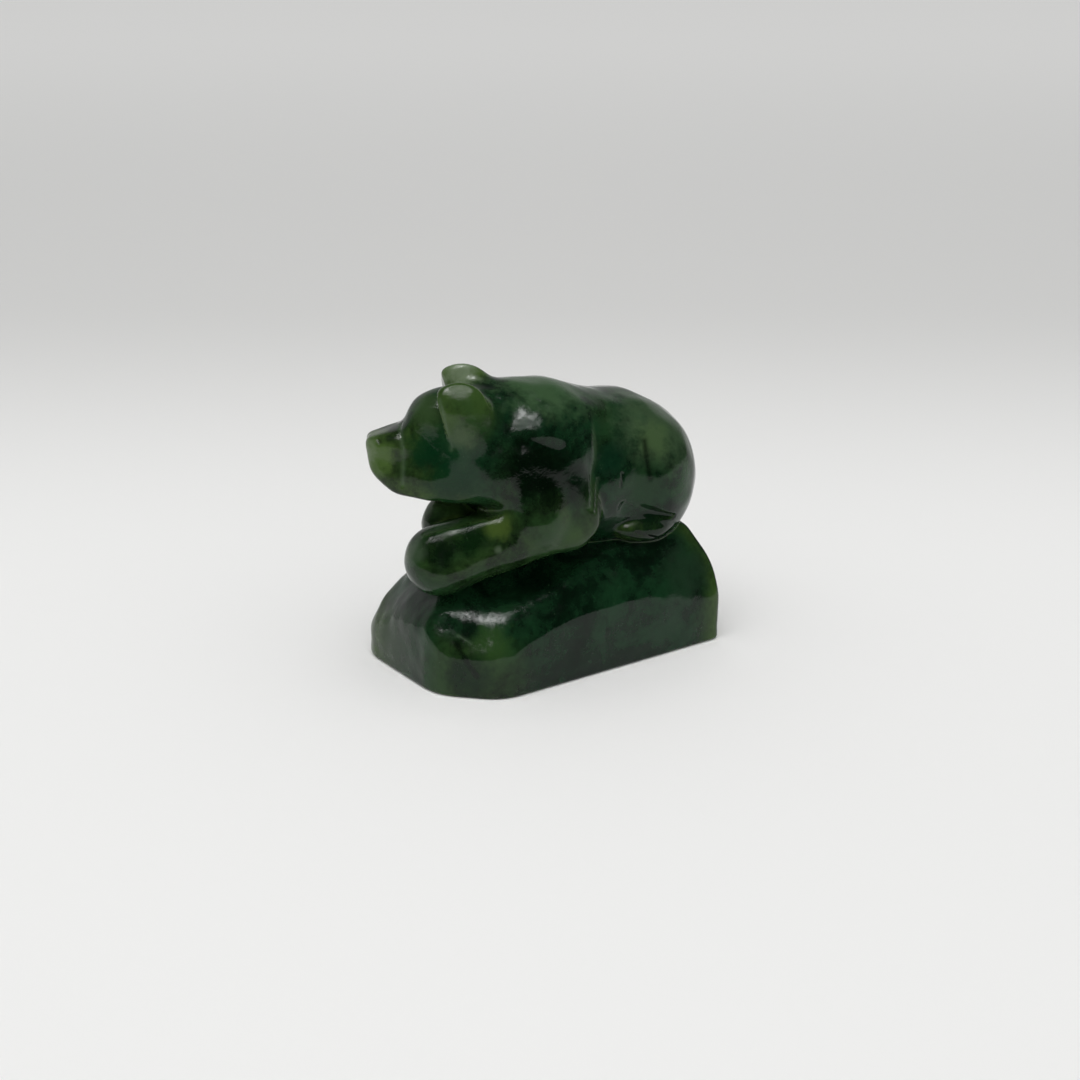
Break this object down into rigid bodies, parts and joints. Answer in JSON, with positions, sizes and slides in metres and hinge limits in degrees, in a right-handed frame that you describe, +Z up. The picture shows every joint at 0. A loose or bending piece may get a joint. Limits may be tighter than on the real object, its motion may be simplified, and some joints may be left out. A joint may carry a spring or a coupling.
{
  "type": "jade bear carving",
  "caption": "Small polished nephrite carving of a bear lying over a faceted rock, its head turned aside over its crossed paws, cut from one block.",
  "frame": {"origin": "centre of the rock's flat underside", "axes": "+Z up; the bear lies along X and faces -X, with its head turned towards +Y and its left flank on the -Y side"},
  "size_m": [0.0565, 0.0316, 0.051],
  "materials": {
    "nephrite": "polished"
  },
  "bodies": {
    "root": {"bear_on_rock": "nephrite"}
  },
  "joints": []
}
